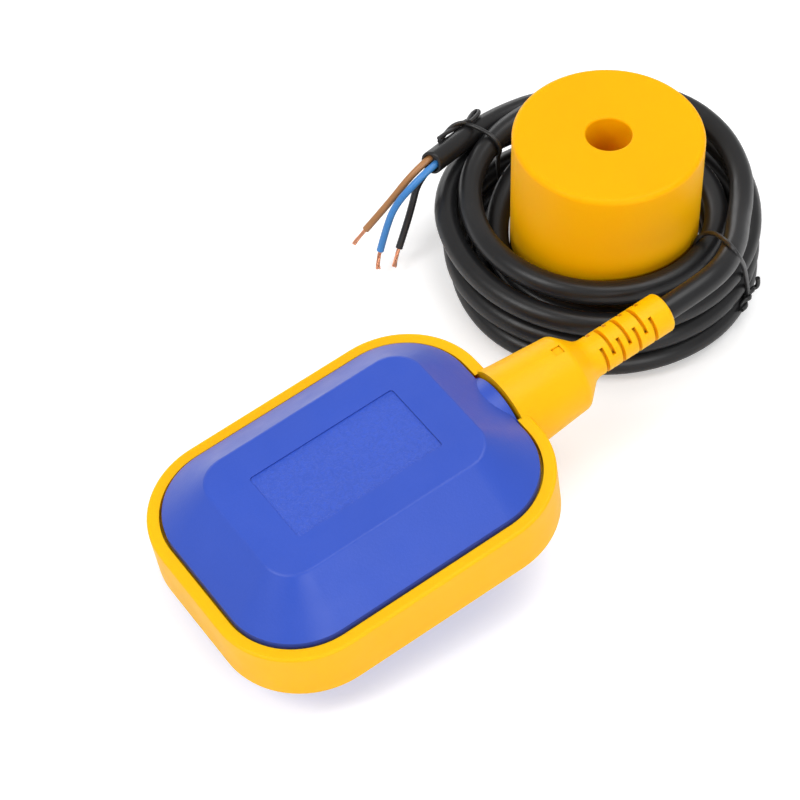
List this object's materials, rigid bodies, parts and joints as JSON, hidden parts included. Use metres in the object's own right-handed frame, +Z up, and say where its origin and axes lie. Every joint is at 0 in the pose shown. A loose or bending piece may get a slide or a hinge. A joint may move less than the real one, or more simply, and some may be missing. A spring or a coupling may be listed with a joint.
{
  "type": "float level switch",
  "caption": "Sealed tilting float with an internal ball switch on a coiled cable, with a loose cylindrical counterweight",
  "frame": {"origin": "floor level under the middle of the float and the counterweight together", "axes": "+X along the float, towards its neck and cable; +Z up"},
  "size_m": [0.2335, 0.1521, 0.063],
  "materials": {
    "yellow_moulding": "satin, fine grain",
    "blue_moulding": "satin, fine grain",
    "black_jacket": "satin",
    "brown_core": "satin",
    "blue_core": "satin",
    "black_core": "satin",
    "bare_copper": "bright",
    "tie_coating": "satin",
    "case_plastic": "matt",
    "switch_plastic": "matt",
    "ball_steel": "polished",
    "spring_metal": "bright",
    "zinc_steel": "plated",
    "seal_rubber": "matt",
    "mineral_fill": "rough"
  },
  "bodies": {
    "body": {"float_frame": "yellow_moulding", "upper_shell": "blue_moulding", "lower_shell": "blue_moulding", "switch_case": "case_plastic", "switch_case_lid": "case_plastic", "case_screws": "zinc_steel", "lever_pin": "zinc_steel", "microswitch_case": "switch_plastic", "microswitch_cover": "switch_plastic", "microswitch_pins": "zinc_steel", "terminal_closed": "spring_metal", "terminal_open": "spring_metal", "terminal_common": "spring_metal", "cable_root": "black_jacket", "cable_seal": "seal_rubber", "case_grommet": "seal_rubber", "cable_clamp": "case_plastic", "clamp_screws": "zinc_steel", "inner_wire_brown": "brown_core", "inner_wire_blue": "blue_core", "inner_wire_black": "black_core", "cable_lead": "black_jacket", "cable_coil": "black_jacket", "cable_tail": "black_jacket", "core_brown": "brown_core", "core_blue": "blue_core", "core_black": "black_core", "strands_brown": "bare_copper", "strands_blue": "bare_copper", "strands_black": "bare_copper", "tie_front": "tie_coating", "tie_rear": "tie_coating", "weight_shell": "yellow_moulding", "weight_ballast": "mineral_fill", "weight_cap": "yellow_moulding"},
    "ball": {"steel_ball": "ball_steel"},
    "lever": {"actuator_lever": "zinc_steel"},
    "plunger": {"plunger": "case_plastic"},
    "blade": {"snap_blade": "spring_metal"}
  },
  "joints": [
    {"name": "ball_roll", "type": "slide", "parent": "body", "child": "ball", "axis": [0.993, 0, 0.1184], "range_m": [0, 0.024]},
    {"name": "lever_swing", "type": "hinge", "parent": "body", "child": "lever", "pos_m": [-0.07412, -0.0181, 0.02459], "axis": [0, -1, 0], "range_deg": [0, 2]},
    {"name": "plunger_press", "type": "slide", "parent": "body", "child": "plunger", "axis": [-0.1184, 0, 0.993], "range_m": [0, 0.00101]},
    {"name": "blade_flex", "type": "hinge", "parent": "body", "child": "blade", "pos_m": [-0.05509, -0.0181, 0.03301], "axis": [0, -1, 0], "range_deg": [0, 6.35]}
  ],
  "couplings": [
    {"joint": "lever_swing", "follows": "ball_roll", "rad_per_m": 1.4544},
    {"joint": "plunger_press", "follows": "ball_roll", "ratio": 0.042195},
    {"joint": "blade_flex", "follows": "ball_roll", "rad_per_m": 4.6179}
  ]
}
